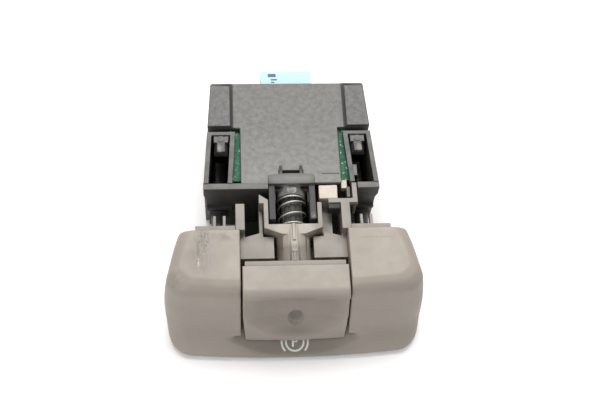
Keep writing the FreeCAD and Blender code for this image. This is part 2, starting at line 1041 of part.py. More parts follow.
def make_slider():
    back = yoke_face
    half_window = yoke_window / 2
    floor_front = back - yoke_floor
    plan = [
        (-half_window, back),
        (half_window, back),
        (half_window, -right_arm_end),
        (yoke_outer, -right_arm_end),
        (yoke_outer, floor_front),
        (barrel_radius - 2.0, floor_front - gusset_depth),
        (2.0 - barrel_radius, floor_front - gusset_depth),
        (-yoke_outer, floor_front),
        (-yoke_outer, -barb_catch),
        (-yoke_outer - barb_reach, -barb_catch),
        (-yoke_outer - barb_reach, -barb_tip),
        (-half_window, -barb_tip - barb_slant),
    ]
    yoke = upright(plan, yoke_bottom, yoke_top)
    barrel = rod(0, axis_height, barrel_radius, plate_front, back - 0.2)
    half = carrier_plate_width / 2
    plate = box(-half, half, plate_front, plate_rear, carrier_plate_low, plate_top)
    crest = axis_height + barrel_radius
    rib = box(
        -rib_width / 2, rib_width / 2, floor_front - 5.4, back - 0.2, crest - 0.6, crest + rib_height
    )
    drop = Part.makeCylinder(rib_width * 0.75, 1.1, V(0, floor_front - 9.4, crest - 0.6))
    tail = box(
        -rib_width / 3,
        rib_width / 3,
        plate_rear - 0.1,
        floor_front - 9.4,
        crest - 0.6,
        crest + rib_height * 0.7,
    )
    bore = rod(0, axis_height, post_outer_radius + running_gap, plate_rear + bore_floor, 1)
    body = joined([yoke, barrel, plate, rib, drop, tail])
    return cut_away(body, [bore])


def make_plunger():
    # The thin rod inside the post that carries the push to the light gate.
    return rod(0, axis_height, rod_radius, plate_rear + bore_floor, rod_reach)


def cap_outline(y, side_wall, lowered):
    # The front view of the cap: straight sides that draw in to a bowed foot.
    half = cap_width / 2 - side_wall
    foot_half = cap_foot_width / 2 - side_wall
    foot = cap_foot_z - lowered
    knee = cap_foot_z + cap_knee_height
    high = cap_top + 1
    return Part.Wire(
        [
            Part.makeLine(V(-half, y, high), V(half, y, high)),
            Part.makeLine(V(half, y, high), V(half, y, knee)),
            Part.makeLine(V(half, y, knee), V(foot_half, y, foot)),
            Part.Arc(V(foot_half, y, foot), V(0, y, foot - cap_foot_bow), V(-foot_half, y, foot)).toShape(),
            Part.makeLine(V(-foot_half, y, foot), V(-half, y, knee)),
            Part.makeLine(V(-half, y, knee), V(-half, y, high)),
        ]
    )


def cap_front(z):
    # The straight line from the top front edge to the foot.
    share = (cap_top - z) / (cap_top - cap_foot_z)
    return cap_rear - cap_depth + (cap_depth - cap_rear - cap_foot_y) * share


def cap_side_view():
    # Flat top, rounded front edge, steep front and a flared foot.
    flare_z = cap_foot_z + cap_flare_height
    flare = V(0, cap_front(flare_z) + cap_flare_depth, flare_z)
    front_top = cap_rear - cap_depth
    lean = (flare.y - front_top) / (cap_top - flare_z)
    radius = cap_edge_radius
    level = V(0, front_top + radius, cap_top)
    down = V(0, front_top + lean * radius, cap_top - radius)
    inside = V(0, (level.y + down.y + front_top) / 3, (level.z + down.z + cap_top) / 3)
    below = cap_foot_z - cap_foot_bow - cap_foot_overrun
    foot = V(0, cap_front(below), below)
    middle = V(0, (flare.y + foot.y) / 2 + cap_flare_bow, (flare.z + foot.z) / 2)
    rear = V(0, cap_rear, cap_top)
    back = V(0, cap_rear, below)
    return Part.Wire(
        [
            Part.makeLine(rear, level),
            Part.Arc(level, inside, down).toShape(),
            Part.makeLine(down, flare),
            Part.Arc(flare, middle, foot).toShape(),
            Part.makeLine(foot, back),
            Part.makeLine(back, rear),
        ]
    )


def make_cap():
    front = -handle_reach - 5
    length = -front - cap_depth
    side_view = cap_side_view()
    side_view.translate(V(-cap_width / 2, 0, 0))
    body = Part.Face(side_view).extrude(V(cap_width, 0, 0))
    body = body.common(Part.Face(cap_outline(front, 0, 0)).extrude(V(0, length, 0)))
    top = cap_top - cap_wall
    below = cap_foot_z - 3 * cap_wall
    inner_view = polygon(
        [
            V(-cap_width / 2, cap_rear - 0.01, top),
            V(-cap_width / 2, cap_front(top) + cap_front_wall, top),
            V(-cap_width / 2, cap_front(below) + cap_foot_wall, below),
            V(-cap_width / 2, cap_rear - 0.01, below),
        ]
    )
    inner = Part.Face(inner_view).extrude(V(cap_width, 0, 0))
    inner = inner.common(Part.Face(cap_outline(front, cap_side_wall, cap_wall)).extrude(V(0, length, 0)))
    tilt = math.atan((cap_front(cap_top) - cap_front(cap_foot_z)) / (cap_top - cap_foot_z))
    upward = V(0, math.sin(tilt), math.cos(tilt))
    outward = V(0, -math.cos(tilt), math.sin(tilt))
    wide = (dish_width ** 2 / 4 + dish_depth ** 2) / (2 * dish_depth)
    tall = (dish_length ** 2 / 4 + dish_depth ** 2) / (2 * dish_depth)
    dish_middle = V(0, cap_front(dish_height), dish_height) + outward * (wide - dish_depth)
    dish = Part.makeTorus(wide - tall, tall, dish_middle, upward)
    ball = (dimple_radius ** 2 + dimple_depth ** 2) / (2 * dimple_depth)
    dimple_middle = V(0, cap_front(dimple_height), dimple_height)
    dimple = Part.makeSphere(ball, dimple_middle + outward * (ball - dish_depth - dimple_depth))
    gap = cap_floor_gap + button_travel * math.sin(math.radians(scoop_slope))
    under = box(-cap_width, cap_width, front, 0, -5, scoop_height + cap_floor_gap)
    under = under.cut([gutter(-gap)])
    return body.cut([inner, under, dish, dimple])


def make_button_spring():
    return coil(
        button_coil_radius,
        button_wire,
        yoke_face + spring_seat,
        -collar_reach - spring_seat,
        button_turns,
        0,
        axis_height,
    )


def export(name, shape):
    placed = shape.copy()
    placed.translate(V(0, origin_shift, 0))
    placed.exportStep("parts/" + name + ".step")


os.makedirs("parts", exist_ok=True)
connector_pins = make_connector_pins()
guide_pin = make_guide_pin()
pin_clip = make_pin_clip()
return_spring = make_return_spring()

export("rear_case", make_rear_case())
export("front_carrier", make_front_carrier())
export("circuit_board", make_board())
export("pin_header", make_pin_header(connector_pins))
export("connector_pins", connector_pins)
export("rear_label", make_label())
export("spring_guide", make_spring_guide())
export("guide_post", make_guide_post())
export("pull_sensor", make_pull_sensor())
export("press_sensor", make_press_sensor())
export("status_led", make_led())
export("control_chip", make_chip())

export("handle_shell", make_handle_shell())
export("handle_chassis", make_chassis())
export("arm_buffer", make_arm_buffer())
export("light_guide", make_light_guide())
export("guide_pin_right", guide_pin)
export("guide_pin_left", mirrored(guide_pin))
export("pin_clip_right", pin_clip)
export("pin_clip_left", mirrored(pin_clip))
export("return_spring_right", return_spring)
export("return_spring_left", mirrored(return_spring))

export("button_slider", make_slider())
export("plunger_rod", make_plunger())
export("button_cap", make_cap())
export("button_spring", make_button_spring())
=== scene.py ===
import math

import bmesh
import bpy
from mathutils import Matrix, Vector
from mathutils.bvhtree import BVHTree


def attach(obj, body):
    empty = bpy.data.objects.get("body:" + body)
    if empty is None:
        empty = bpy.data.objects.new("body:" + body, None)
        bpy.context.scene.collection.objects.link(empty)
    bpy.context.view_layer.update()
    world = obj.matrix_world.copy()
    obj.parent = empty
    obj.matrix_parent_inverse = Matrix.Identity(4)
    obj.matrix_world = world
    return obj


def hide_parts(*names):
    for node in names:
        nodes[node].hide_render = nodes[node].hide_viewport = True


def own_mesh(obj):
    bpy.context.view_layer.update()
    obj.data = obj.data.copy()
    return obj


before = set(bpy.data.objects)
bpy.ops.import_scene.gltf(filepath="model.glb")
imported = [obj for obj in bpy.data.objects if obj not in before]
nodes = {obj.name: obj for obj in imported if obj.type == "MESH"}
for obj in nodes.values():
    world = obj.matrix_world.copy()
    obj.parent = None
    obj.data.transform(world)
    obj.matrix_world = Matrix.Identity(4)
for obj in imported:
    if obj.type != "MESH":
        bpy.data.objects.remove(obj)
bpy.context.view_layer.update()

# Sizes are in metres. Places are taken from the front face of the housing flange,
# which lies at flangeFace in the shared frame.
flangeFace = -0.0005
print("frame loaded")


def place(x, y, z):
    return Vector((x, y + flangeFace, z))


# Materials

noiseSpan = (0.3, 0.7)  # nearly all values of a noise lie in it
plasticWear = {
    "speckEdge": 0.05,
    "smearScale": 3.1,
    "smearSpan": (0.35, 0.65),
    "smoother": 0.05,
    "rougher": 0.06,
}
metalWear = {"dark": 0.72, "smoother": 0.06, "rougher": 0.08, "depth": 0.000004}
printWear = {"dark": 0.9, "fibreScale": 2500.0, "depth": 0.000003}


def blankMaterial(name):
    material = bpy.data.materials.new(name)
    material.use_nodes = True
    tree = material.node_tree
    return material, tree, tree.nodes["Principled BSDF"]


def objectPoints(tree):
    return tree.nodes.new("ShaderNodeTexCoord").outputs["Object"]


def stretchedPoints(tree, points, stretch):
    mapping = tree.nodes.new("ShaderNodeMapping")
    mapping.inputs["Scale"].default_value = (1.0, stretch, 1.0)
    tree.links.new(points, mapping.inputs["Vector"])
    return mapping.outputs["Vector"]


def noiseOf(tree, points, scale, detail=3.0, roughness=0.55):
    noise = tree.nodes.new("ShaderNodeTexNoise")
    noise.inputs["Scale"].default_value = scale
    noise.inputs["Detail"].default_value = detail
    noise.inputs["Roughness"].default_value = roughness
    tree.links.new(points, noise.inputs["Vector"])
    return noise.outputs["Fac"]


def remapped(tree, value, low, high, start=0.0, end=1.0):
    ranges = tree.nodes.new("ShaderNodeMapRange")
    ranges.inputs["From Min"].default_value = low
    ranges.inputs["From Max"].default_value = high
    ranges.inputs["To Min"].default_value = start
    ranges.inputs["To Max"].default_value = end
    tree.links.new(value, ranges.inputs["Value"])
    return ranges.outputs["Result"]


def combined(tree, operation, first, second):
    maths = tree.nodes.new("ShaderNodeMath")
    maths.operation = operation
    for socket, value in zip(maths.inputs, (first, second)):
        if isinstance(value, float):
            socket.default_value = value
        else:
            tree.links.new(value, socket)
    return maths.outputs["Value"]


def blended(tree, share, first, second):
    mix = tree.nodes.new("ShaderNodeMix")
    mix.data_type = "RGBA"
    tree.links.new(share, mix.inputs["Factor"])
    for socket, value in ((mix.inputs["A"], first), (mix.inputs["B"], second)):
        if isinstance(value, tuple):
            socket.default_value = (*value, 1.0)
        else:
            tree.links.new(value, socket)
    return mix.outputs["Result"]


def patchMask(tree, points, centre, reach, softness):
    # One inside a stretched ball around centre, fading out at its rim.
    offset = tree.nodes.new("ShaderNodeVectorMath")
    offset.operation = "SUBTRACT"
    tree.links.new(points, offset.inputs[0])
    offset.inputs[1].default_value = place(*centre)
    squeezed = tree.nodes.new("ShaderNodeVectorMath")
    squeezed.operation = "DIVIDE"
    tree.links.new(offset.outputs["Vector"], squeezed.inputs[0])
    squeezed.inputs[1].default_value = reach
    length = tree.nodes.new("ShaderNodeVectorMath")
    length.operation = "LENGTH"
    tree.links.new(squeezed.outputs["Vector"], length.inputs[0])
    return remapped(tree, length.outputs["Value"], 1.0, 1.0 - softness)


def marked(tree, points, colour, mark):
    # Dirt, wear, painted shade or painted light inside a stretched ball, wherever its noise rises over the
    # cut.
    mask = patchMask(tree, points, mark["centre"], mark["reach"], mark["softness"])
    drawn = stretchedPoints(tree, points, mark.get("stretch", 1.0))
    noise = noiseOf(tree, drawn, mark["scale"], detail=4.0, roughness=0.7)
    broken = remapped(tree, noise, mark["cut"], mark["cut"] + mark["edge"])
    share = combined(tree, "MULTIPLY", combined(tree, "MULTIPLY", mask, broken), mark["share"])
    return blended(tree, share, colour, mark["colour"])


def banded(tree, points, colour, band):
    # A change of colour between two places along Y or Z.
    parts = tree.nodes.new("ShaderNodeSeparateXYZ")
    tree.links.new(points, parts.inputs["Vector"])
    shift = flangeFace if band["axis"] == "Y" else 0.0
    low, high = (end + shift for end in band["ends"])
    share = remapped(tree, parts.outputs[band["axis"]], low, high, 0.0, band["share"])
    return blended(tree, share, colour, band["colour"])


def bumpOf(tree, shader, height, distance):
    bump = tree.nodes.new("ShaderNodeBump")
    bump.inputs["Strength"].default_value = 1.0
    bump.inputs["Distance"].default_value = distance
    tree.links.new(height, bump.inputs["Height"])
    tree.links.new(bump.outputs["Normal"], shader.inputs["Normal"])


def mouldedPlastic(name, look):
    # Moulded plastic with fine grain, faint cloudiness, specks of dust, marks and bands.
    material, tree, shader = blankMaterial(name)
    points = objectPoints(tree)
    cloud = remapped(tree, noiseOf(tree, points, look["cloudScale"]), *noiseSpan)
    colour = blended(tree, cloud, look["dark"], look["light"])
    dust = noiseOf(tree, points, look["speckScale"], detail=2.0)
    specks = remapped(tree, dust, look["speckCut"], look["speckCut"] + plasticWear["speckEdge"])
    colour = blended(tree, combined(tree, "MULTIPLY", specks, look["speckShare"]), colour, look["speck"])
    for mark in look.get("marks", []):
        colour = marked(tree, points, colour, mark)
    for band in look.get("bands", []):
        colour = banded(tree, points, colour, band)
    tree.links.new(colour, shader.inputs["Base Color"])
    smears = noiseOf(tree, points, look["cloudScale"] * plasticWear["smearScale"], detail=4.0)
    smears = remapped(tree, smears, *plasticWear["smearSpan"])
    smooth = look["roughness"] - plasticWear["smoother"]
    rough = look["roughness"] + plasticWear["rougher"]
    tree.links.new(remapped(tree, smears, 0.0, 1.0, smooth, rough), shader.inputs["Roughness"])
    shader.inputs["Specular IOR Level"].default_value = look["specular"]
    grain = noiseOf(tree, points, look["grainScale"], detail=2.0, roughness=0.6)
    bumpOf(tree, shader, grain, look["grainDepth"])
    return material


def metal(name, colour, roughness, scale):
    material, tree, shader = blankMaterial(name)
    streaks = noiseOf(tree, objectPoints(tree), scale)
    dark = tuple(metalWear["dark"] * channel for channel in colour)
    worn = remapped(tree, streaks, *noiseSpan)
    tree.links.new(blended(tree, worn, dark, colour), shader.inputs["Base Color"])
    smooth = roughness - metalWear["smoother"]
    rough = roughness + metalWear["rougher"]
    tree.links.new(remapped(tree, streaks, *noiseSpan, smooth, rough), shader.inputs["Roughness"])
    shader.inputs["Metallic"].default_value = 1.0
    bumpOf(tree, shader, streaks, metalWear["depth"])
    return material


def flatPrint(name, colour, roughness):
    material, tree, shader = blankMaterial(name)
    noise = noiseOf(tree, objectPoints(tree), printWear["fibreScale"])
    fibre = remapped(tree, noise, *noiseSpan)
    dark = tuple(printWear["dark"] * channel for channel in colour)
    tree.links.new(blended(tree, fibre, dark, colour), shader.inputs["Base Color"])
    shader.inputs["Roughness"].default_value = roughness
    bumpOf(tree, shader, fibre, printWear["depth"])
    return material


# Grey-brown paint and plastic

taupeLook = {
    "dark": (0.250, 0.218, 0.188),
    "light": (0.282, 0.248, 0.214),
    "cloudScale": 55.0,
    "grainScale": 5200.0,
    "grainDepth": 0.000012,
    "speck": (0.40, 0.37, 0.33),
    "speckScale": 2400.0,
    "speckCut": 0.70,
    "speckShare": 0.35,
    "roughness": 0.52,
    "specular": 0.5,
}
# Painted shade darkening the finger hollow at the front foot of the shell
hollowPaintedShade = {
    "centre": (0.0, -0.0560, 0.0050), "reach": (0.0290, 0.0100, 0.0060), "softness": 0.5,
    "scale": 120.0, "cut": 0.0, "edge": 0.4,
    "share": 0.35, "colour": (0.165, 0.145, 0.125),
}
leftLobeWear = [
    # Film of dirt over the whole top
    {
        "centre": (-0.0350, -0.0285, 0.029), "reach": (0.0120, 0.0130, 0.008), "softness": 0.9,
        "scale": 150.0, "cut": 0.0, "edge": 0.4,
        "share": 0.50, "colour": (0.150, 0.133, 0.113),
    },
    # Streaks towards the front
    {
        "centre": (-0.0335, -0.0250, 0.030), "reach": (0.0050, 0.0120, 0.006), "softness": 0.6,
        "scale": 900.0, "stretch": 0.22, "cut": 0.42, "edge": 0.22,
        "share": 0.60, "colour": (0.125, 0.112, 0.100),
    },
    # Dark specks at the rear
    {
        "centre": (-0.0331, -0.0215, 0.030), "reach": (0.0025, 0.0072, 0.006), "softness": 0.5,
        "scale": 2300.0, "stretch": 0.35, "cut": 0.52, "edge": 0.06,
        "share": 0.80, "colour": (0.058, 0.052, 0.047),
    },
    # Dark line beside the streaks, and the pale scratch that goes on from it
    {
        "centre": (-0.0352, -0.0258, 0.0298), "reach": (0.0005, 0.0040, 0.004), "softness": 0.6,
        "scale": 1800.0, "stretch": 0.3, "cut": 0.36, "edge": 0.12,
        "share": 0.65, "colour": (0.100, 0.090, 0.080),
    },
    {
        "centre": (-0.0349, -0.0308, 0.0295), "reach": (0.0004, 0.0034, 0.004), "softness": 0.6,
        "scale": 2600.0, "stretch": 0.5, "cut": 0.47, "edge": 0.08,
        "share": 0.70, "colour": (0.66, 0.64, 0.60),
    },
    # Smudge along the rear edge
    {
        "centre": (-0.0255, -0.0205, 0.030), "reach": (0.0078, 0.0024, 0.004), "softness": 0.9,
        "scale": 420.0, "cut": 0.38, "edge": 0.22,
        "share": 0.62, "colour": (0.120, 0.108, 0.095),
    },
    # Smudge on the outer shoulder
    {
        "centre": (-0.0420, -0.0360, 0.0270), "reach": (0.0060, 0.0040, 0.005), "softness": 0.9,
        "scale": 300.0, "cut": 0.30, "edge": 0.3,
        "share": 0.6, "colour": (0.120, 0.107, 0.093),
    },
]
rightLobeWear = [
    # Thin line along the rear edge
    {
        "centre": (0.0290, -0.0215, 0.030), "reach": (0.0100, 0.0004, 0.004), "softness": 0.6,
        "scale": 700.0, "cut": 0.42, "edge": 0.1,
        "share": 0.4, "colour": (0.17, 0.15, 0.13),
    },
    # Small smudge on the top
    {
        "centre": (0.0345, -0.0330, 0.0295), "reach": (0.0030, 0.0018, 0.004), "softness": 0.8,
        "scale": 900.0, "cut": 0.45, "edge": 0.1,
        "share": 0.3, "colour": (0.18, 0.16, 0.14),
    },
]
shellPaint = mouldedPlastic(
    "shellPaint", {**taupeLook, "marks": [hollowPaintedShade] + leftLobeWear + rightLobeWear}
)
capPaintedShade = [
    # Painted shade over the whole dish and in the dimple, and a darker band along the dish's lower rim
    {
        "centre": (0.0, -0.0450, 0.0190), "reach": (0.0205, 0.0200, 0.0126), "softness": 0.3,
        "scale": 120.0, "cut": 0.0, "edge": 0.4,
        "share": 0.50, "colour": (0.172, 0.147, 0.127),
    },
    {
        "centre": (0.0, -0.0450, 0.0090), "reach": (0.0130, 0.0200, 0.0028), "softness": 0.9,
        "scale": 120.0, "cut": 0.0, "edge": 0.4,
        "share": 0.60, "colour": (0.120, 0.104, 0.088),
    },
    {
        "centre": (0.0002, -0.0450, 0.0145), "reach": (0.0028, 0.0200, 0.0027), "softness": 0.3,
        "scale": 500.0, "cut": 0.0, "edge": 0.2,
        "share": 0.70, "colour": (0.100, 0.088, 0.076),
    },
]
capPaint = mouldedPlastic(
    "capPaint", {**taupeLook, "cloudScale": 80.0, "speckShare": 0.25, "marks": capPaintedShade}
)
# Painted light making the upper part of the button's sleeve paler
sleevePaintedLight = {
    "centre": (0.0, -0.0180, 0.0270), "reach": (0.0090, 0.0068, 0.0070), "softness": 0.3,
    "scale": 200.0, "cut": 0.0, "edge": 0.3,
    "share": 0.85, "colour": (0.290, 0.256, 0.218),
}
rawTaupe = mouldedPlastic(
    "rawTaupe",
    {
        **taupeLook,
        "dark": (0.160, 0.141, 0.119),
        "light": (0.195, 0.172, 0.147),
        "roughness": 0.42,
        "grainScale": 3000.0,
        "marks": [sleevePaintedLight],
    },
)
pinkCorner = {
    "centre": (0.0106, -0.001, 0.028), "reach": (0.0016, 0.0040, 0.004), "softness": 0.8,
    "scale": 300.0, "cut": 0.30, "edge": 0.1,
    "share": 0.6, "colour": (0.44, 0.29, 0.24),
}
creamPlastic = mouldedPlastic(
    "creamPlastic",
    {
        **taupeLook,
        "dark": (0.33, 0.285, 0.23),
        "light": (0.42, 0.370, 0.305),
        "cloudScale": 200.0,
        "speck": (0.50, 0.45, 0.38),
        "roughness": 0.32,
        "marks": [pinkCorner],
    },
)
milkyShader = creamPlastic.node_tree.nodes["Principled BSDF"]
milkyShader.inputs["Subsurface Weight"].default_value = 0.25
milkyShader.inputs["Subsurface Radius"].default_value = (0.0015, 0.001, 0.0007)

# Black plastic, rubber and the board

blackLook = {
    "cloudScale": 90.0,
    "grainScale": 3600.0,
    "grainDepth": 0.000016,
    "speck": (0.20, 0.19, 0.175),
    "speckScale": 2600.0,
    "speckCut": 0.71,
    "speckShare": 0.5,
    "roughness": 0.42,
    "specular": 0.5,
}
casePlastic = mouldedPlastic(
    "casePlastic",
    {
        **blackLook,
        "dark": (0.098, 0.095, 0.089),
        "light": (0.104, 0.101, 0.094),
        "cloudScale": 160.0,
        # Painted shade: the panel darker towards the rear, and the tops of the humps darker
        "bands": [
            {"axis": "Y", "ends": (0.004, 0.030), "share": 0.85, "colour": (0.048, 0.046, 0.043)},
            {"axis": "Z", "ends": (0.0286, 0.0296), "share": 0.7, "colour": (0.022, 0.021, 0.020)},
        ],
    },
)
rubbedNoses = [
    {
        "centre": (x, 0.0180, 0.0288), "reach": (0.0013, 0.0026, 0.0012), "softness": 0.5,
        "scale": 1800.0, "cut": 0.36, "edge": 0.2,
        "share": 0.7, "colour": (0.27, 0.25, 0.20),
    }
    for x in (-0.0270, 0.0270)
]
# Painted light along the top edge of the flange
flangeTopPaintedLight = {
    "centre": (0.0, 0.0012, 0.0300), "reach": (0.0700, 0.0026, 0.0018), "softness": 0.4,
    "scale": 300.0, "cut": 0.0, "edge": 0.3,
    "share": 0.8, "colour": (0.070, 0.068, 0.064),
}
carrierPlastic = mouldedPlastic(
    "carrierPlastic",
    {
        **blackLook,
        "dark": (0.034, 0.033, 0.032),
        "light": (0.046, 0.045, 0.043),
        "roughness": 0.46,
        "marks": rubbedNoses + [flangeTopPaintedLight],
    },
)
guideLightAndSpot = [
    # Painted light making the crosshead and the collar paler, and a pale spot on the right leg
    {
        "centre": (0.0, 0.0044, 0.0298), "reach": (0.0110, 0.0046, 0.0014), "softness": 0.25,
        "scale": 200.0, "cut": 0.0, "edge": 0.3,
        "share": 0.85, "colour": (0.108, 0.105, 0.099),
    },
    {
        "centre": (0.0, -0.0002, 0.0250), "reach": (0.0066, 0.0032, 0.0070), "softness": 0.25,
        "scale": 200.0, "cut": 0.0, "edge": 0.3,
        "share": 0.85, "colour": (0.200, 0.194, 0.183),
    },
    {
        "centre": (0.0076, -0.0112, 0.0284), "reach": (0.0011, 0.0016, 0.002), "softness": 0.7,
        "scale": 2200.0, "cut": 0.44, "edge": 0.1,
        "share": 0.5, "colour": (0.34, 0.33, 0.31),
    },
]
guidePlastic = mouldedPlastic(
    "guidePlastic",
    {
        **blackLook,
        "dark": (0.034, 0.033, 0.031),
        "light": (0.046, 0.044, 0.042),
        "roughness": 0.48,
        "marks": guideLightAndSpot,
    },
)
postPlastic = mouldedPlastic(
    "postPlastic",
    {
        **blackLook,
        "dark": (0.040, 0.037, 0.034),
        "light": (0.058, 0.054, 0.050),
        "roughness": 0.62,
        "specular": 0.25,
    },
)
sensorPlastic = mouldedPlastic(
    "sensorPlastic",
    {**blackLook, "dark": (0.02, 0.02, 0.02), "light": (0.032, 0.031, 0.03), "roughness": 0.35},
)
rubber = mouldedPlastic(
    "rubber",
    {**blackLook, "dark": (0.014, 0.014, 0.014), "light": (0.022, 0.022, 0.022), "roughness": 0.62},
)
boardLacquer = mouldedPlastic(
    "boardLacquer",
    {
        **blackLook,
        "dark": (0.012, 0.070, 0.038),
        "light": (0.030, 0.150, 0.085),
        "cloudScale": 420.0,
        "speck": (0.55, 0.66, 0.55),
        "speckScale": 900.0,
        "speckCut": 0.64,
        "speckShare": 0.8,
        "roughness": 0.55,
        "specular": 0.2,
    },
)

# Metal, paper and print

steel = metal("steel", (0.56, 0.55, 0.53), roughness=0.28, scale=1800.0)
springSteel = metal("springSteel", (0.56, 0.545, 0.52), roughness=0.54, scale=2600.0)
tinned = metal("tinned", (0.70, 0.66, 0.55), roughness=0.30, scale=2200.0)
labelPaper = flatPrint("labelPaper", (0.42, 0.60, 0.61), roughness=0.6)
labelInk = flatPrint("labelInk", (0.035, 0.055, 0.16), roughness=0.5)
signInk = flatPrint("signInk", (0.80, 0.79, 0.73), roughness=0.42)
print("materials made")


# Shaping tools

mergeGap = 0.000002
brokenEdges = {
    "flat": math.radians(1.0),  # faces that meet flatter are one face
    "sharp": math.radians(32),  # edges above it are broken
    "creased": math.radians(50),  # edges above it stay sharp in the shading
    "leastFace": 2.5,  # in widths of the broken edge, across the faces beside it
    "weight": 90,
}


def bareForm(node):
    form = bmesh.new()
    form.from_mesh(nodes[node].data)
    bmesh.ops.remove_doubles(form, verts=form.verts, dist=mergeGap)
    return form


def smoothShaded(form):
    for face in form.faces:
        face.smooth = True


def finished(name, form, material, body, replaced=()):
    mesh = bpy.data.meshes.new(name)
    form.to_mesh(mesh)
    form.free()
    piece = bpy.data.objects.new(name, mesh)
    bpy.context.scene.collection.objects.link(piece)
    mesh.materials.append(material)
    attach(piece, body)
    if replaced:
        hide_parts(*replaced)
    return piece


def inPlaceOfNode(name, form, part):
    return finished(name, form, part["material"], part["body"], [part["node"]])


def evaluatedMesh(source):
    depsgraph = bpy.context.evaluated_depsgraph_get()
    return bpy.data.meshes.new_from_object(source.evaluated_get(depsgraph))


def applied(piece):
    mesh = evaluatedMesh(piece)
    piece.modifiers.clear()
    piece.data = mesh
    return piece


def formOfCurve(name, curve):
    # The form that a curve or a text gives, without the object that carried it.
    carrier = bpy.data.objects.new(name, curve)
    bpy.context.scene.collection.objects.link(carrier)
    mesh = evaluatedMesh(carrier)
    bpy.data.objects.remove(carrier)
    form = bmesh.new()
    form.from_mesh(mesh)
    return form


def narrowness(face):
    return face.calc_area() / max(edge.calc_length() for edge in face.edges)


def canBeBroken(edge, width):
    if len(edge.link_faces) != 2 or edge.calc_face_angle() <= brokenEdges["sharp"]:
        return False
    return min(narrowness(face) for face in edge.link_faces) > brokenEdges["leastFace"] * width


def edgeBroken(name, part):
    # A node's own form with its sharp edges broken by a small round.
    form = bareForm(part["node"])
    bmesh.ops.dissolve_limit(
        form,
        angle_limit=brokenEdges["flat"],
        use_dissolve_boundaries=False,
        verts=form.verts,
        edges=form.edges,
        delimit=set(),
    )
    bmesh.ops.bevel(
        form,
        geom=[edge for edge in form.edges if canBeBroken(edge, part["width"])],
        offset=part["width"],
        offset_type="OFFSET",
        segments=part["segments"],
        profile=0.5,
        affect="EDGES",
        material=-1,
        clamp_overlap=False,
    )
    smoothShaded(form)
    piece = inPlaceOfNode(name, form, part)
    piece.data.set_sharp_from_angle(angle=brokenEdges["creased"])
    if part.get("ownNormals", False):
        return
    weighted = piece.modifiers.new("weighted", "WEIGHTED_NORMAL")
    weighted.keep_sharp = True
    weighted.weight = brokenEdges["weight"]
    applied(piece)


def softened(name, skin):
    # A node's own form as one even skin, with its edges rounded by smoothing.
    piece = inPlaceOfNode(name, bareForm(skin["node"]), skin)
    remesh = piece.modifiers.new("remesh", "REMESH")
    remesh.mode = "VOXEL"
    remesh.voxel_size = skin["voxel"]
    remesh.use_smooth_shade = True
    smooth = piece.modifiers.new("smooth", "SMOOTH")
    smooth.factor = 0.5
    smooth.iterations = skin["rounds"]
    return applied(piece)


def between(value, start, end):
    # Nothing at start and one at end, with a smooth rise.
    share = min(max((value - start) / (end - start), 0.0), 1.0)
    return share * share * (3.0 - 2.0 * share)


# Handle and button skins

shellSkin = {
    "node": "handle_shell", "voxel": 0.00050, "rounds": 7,
    "material": shellPaint, "slot": "taupe_plastic", "body": "handle",
}
capSkin = {
    "node": "button_cap", "voxel": 0.00032, "rounds": 6,
    "material": capPaint, "slot": "taupe_plastic", "body": "button",
}
shoulderSize = {"across": (0.026, 0.036), "along": (-0.043, -0.019), "up": (0.019, 0.029), "out": 0.0023}
capFront = {
    "top": (-0.0446, 0.0296),  # y and z of the front face without its dish
    "flare": (-0.0474, 0.0152),
    "foot": (-0.0516, 0.0048),
    "half": 0.0190,  # half the width over which the front is looked for
    "depth": 0.0050,  # what lies further behind the front stays as it is
    "skin": 0.0004,  # what lies nearer behind the front moves in full
}
dishSize = {
    "low": 0.0066,  # height of the lower rim in the middle
    "radius": 0.0225,  # of the bow of the lower rim
    "slope": 0.25,
    "deepest": 0.0038,
    "crest": (0.0276, 0.0240),  # heights where the dish starts and where it is full
    "dimple": (0.0002, 0.0141),
    "dimpleRadius": 0.0029,
    "dimpleDepth": 0.0014,
}
rayStart = -0.2  # ahead of the whole part


def squaredShoulders(piece):
    # The lobes are boxier at the rear than at the front.
    for vertex in piece.data.vertices:
        x, y, z = vertex.co
        share = between(abs(x), *shoulderSize["across"]) * between(z, *shoulderSize["up"])
        share *= between(y - flangeFace, *shoulderSize["along"])
        vertex.co.x += math.copysign(share * shoulderSize["out"], x)


def plainFront(z):
    # Where the front of the cap would lie at this height without its dish.
    first, second = capFront["top"], capFront["flare"]
    if z < second[1]:
        first, second = second, capFront["foot"]
    share = (first[1] - z) / (first[1] - second[1])
    return first[0] + (second[0] - first[0]) * share


def dishedFront(x, z):
    reach = dishSize["radius"]
    low = dishSize["low"] + reach - math.sqrt(reach ** 2 - x ** 2)
    depth = min(max(z - low, 0.0) * dishSize["slope"], dishSize["deepest"])
    depth *= between(z, *dishSize["crest"])
    middle = dishSize["dimple"]
    off = math.hypot(x - middle[0], z - middle[1]) / dishSize["dimpleRadius"]
    if off < 1.0:
        depth += dishSize["dimpleDepth"] * math.sqrt(1.0 - off ** 2)
    return plainFront(z) + depth


def dished(piece):
    # The finger dish with its straight crest and bowed lower rim, and the round dimple in it.
    form = bmesh.new()
    form.from_mesh(piece.data)
    tree = BVHTree.FromBMesh(form)
    ahead = Vector((0.0, 1.0, 0.0))
    for vertex in form.verts:
        x, z = vertex.co.x, vertex.co.z
        if not capFront["foot"][1] < z < dishSize["crest"][0]:
            continue
        inside = min(max(x, -capFront["half"]), capFront["half"])
        front = tree.ray_cast(Vector((inside, rayStart, z)), ahead)[0]
        if front is None:
            continue
        share = 1.0 - between(vertex.co.y - front.y, capFront["skin"], capFront["depth"])
        share *= between(z, capFront["foot"][1], dishSize["low"])
        vertex.co.y += share * (dishedFront(inside, z) + flangeFace - front.y)
    form.to_mesh(piece.data)
    form.free()


squaredShoulders(softened("handleShell", shellSkin))
dished(softened("buttonCap", capSkin))
print("skins made")

# Inner parts, with the width and the segments of their broken edges

